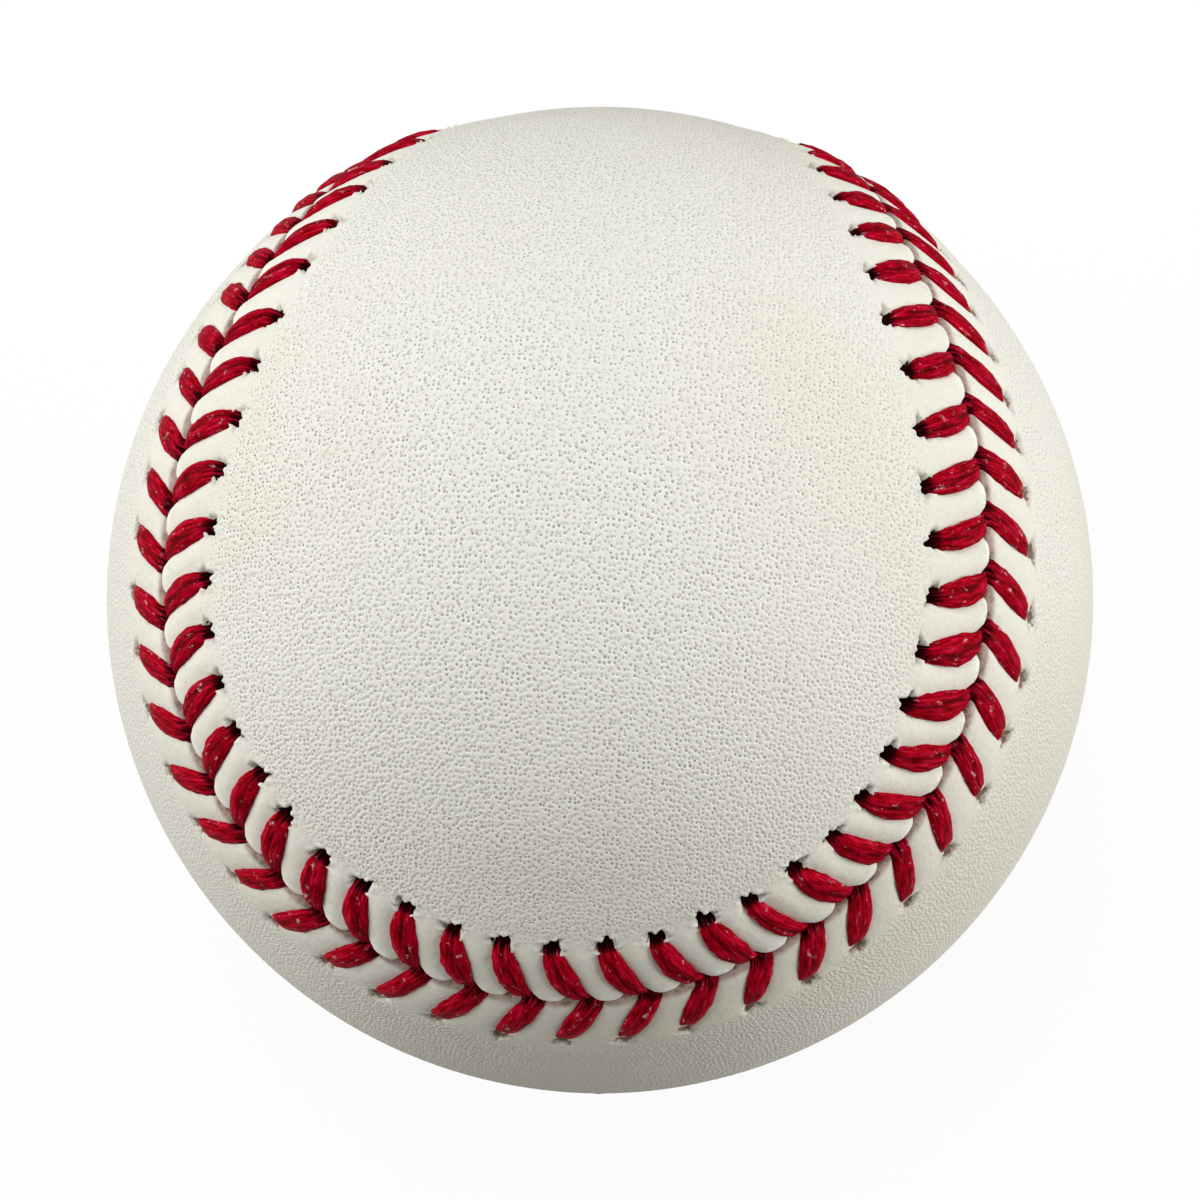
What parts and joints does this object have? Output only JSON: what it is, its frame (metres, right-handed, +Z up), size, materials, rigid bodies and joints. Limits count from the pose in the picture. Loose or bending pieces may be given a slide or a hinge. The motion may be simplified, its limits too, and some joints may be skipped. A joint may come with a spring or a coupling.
{
  "type": "baseball",
  "caption": "Stitched leather ball: cork core in rubber shells, wound yarn layers, and two figure-eight hide panels sewn together with red thread along one raised seam.",
  "frame": {"origin": "centre of the ball", "axes": "+Z up through the middle of one lobe of cover panel a, +Y through the waist of cover panel a, +X through the middle of one lobe of cover panel b"},
  "size_m": [0.0738, 0.0738, 0.0738],
  "materials": {
    "leather": "matt natural grain",
    "thread": "waxed two-ply",
    "cork": "pressed granules",
    "black_rubber": "moulded",
    "red_rubber": "moulded",
    "grey_wool": "wound yarn",
    "white_wool": "wound yarn",
    "white_cotton": "fine wound yarn"
  },
  "bodies": {
    "root": {"cork_core": "cork", "black_rubber_shell_upper": "black_rubber", "black_rubber_shell_lower": "black_rubber", "red_rubber_gasket": "red_rubber", "red_rubber_layer": "red_rubber", "winding_first_grey_wool": "grey_wool", "winding_second_white_wool": "white_wool", "winding_third_grey_wool": "grey_wool", "winding_fourth_cotton": "white_cotton", "cover_panel_a": "leather", "cover_panel_b": "leather", "seam_thread_a": "thread", "seam_thread_b": "thread"}
  },
  "joints": []
}
